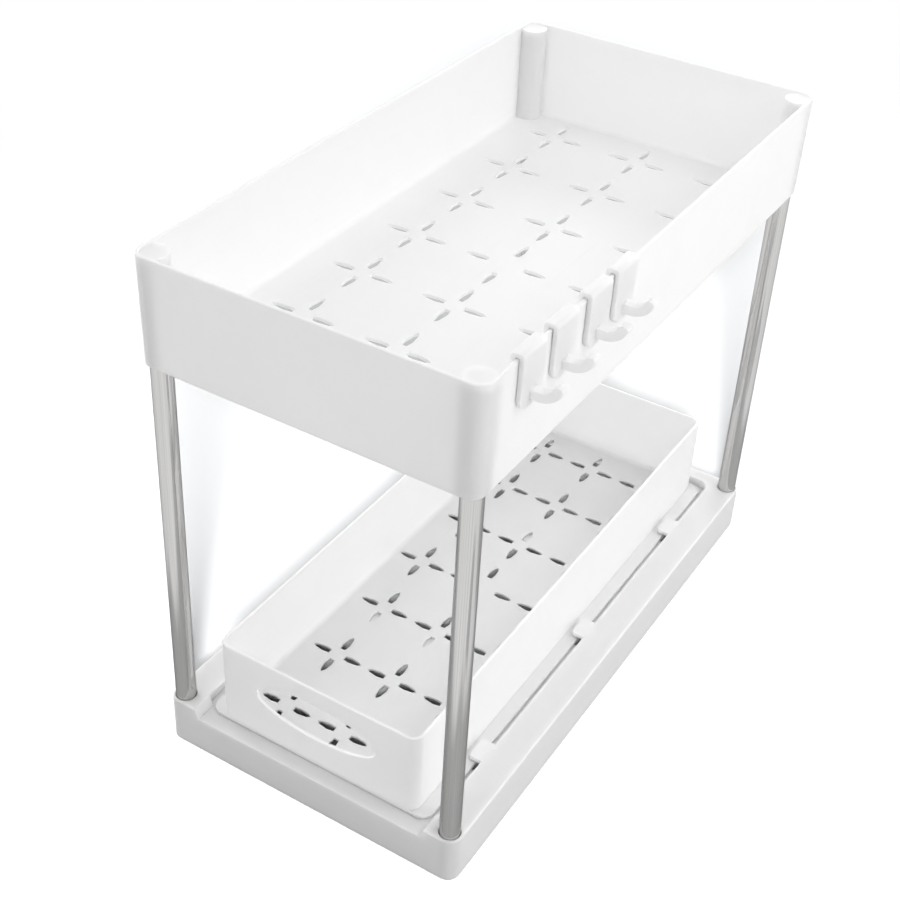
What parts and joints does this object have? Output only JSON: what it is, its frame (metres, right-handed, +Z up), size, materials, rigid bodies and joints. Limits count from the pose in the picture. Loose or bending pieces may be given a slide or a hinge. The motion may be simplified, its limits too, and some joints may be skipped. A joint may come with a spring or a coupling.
{
  "type": "under sink organizer",
  "caption": "Two-tier organizer: a deep tray on steel tubes over a base with a pull-out basket, star-shaped drain slots and hooks over the rim.",
  "frame": {"origin": "centre of the base's underside, on the surface that it stands on", "axes": "+Z up, +Y towards the back, -Y towards the end that the drawer pulls out of, +X towards the wall that the hooks hang on"},
  "size_m": [0.2259, 0.403, 0.3414],
  "materials": {
    "base_plastic": "satin",
    "drawer_plastic": "satin",
    "tray_plastic": "satin",
    "hook_plastic": "satin",
    "tube_steel": "polished"
  },
  "bodies": {
    "frame": {"base": "base_plastic", "top_tray": "tray_plastic", "tube_front_left": "tube_steel", "tube_front_right": "tube_steel", "tube_back_left": "tube_steel", "tube_back_right": "tube_steel"},
    "drawer": {"drawer": "drawer_plastic"},
    "hook_1": {"hook_1": "hook_plastic"},
    "hook_2": {"hook_2": "hook_plastic"},
    "hook_3": {"hook_3": "hook_plastic"},
    "hook_4": {"hook_4": "hook_plastic"}
  },
  "joints": [
    {"name": "drawer_slide", "type": "slide", "parent": "frame", "child": "drawer", "axis": [0, -1, 0], "range_m": [-0.0025, 0.3]},
    {"name": "hook_1_slide", "type": "slide", "parent": "frame", "child": "hook_1", "axis": [0, 1, 0], "range_m": [-0.0095, 0.0045]},
    {"name": "hook_2_slide", "type": "slide", "parent": "frame", "child": "hook_2", "axis": [0, 1, 0], "range_m": [-0.0045, 0.006]},
    {"name": "hook_3_slide", "type": "slide", "parent": "frame", "child": "hook_3", "axis": [0, 1, 0], "range_m": [-0.006, 0.0032]},
    {"name": "hook_4_slide", "type": "slide", "parent": "frame", "child": "hook_4", "axis": [0, 1, 0], "range_m": [-0.0032, 0.237]}
  ]
}
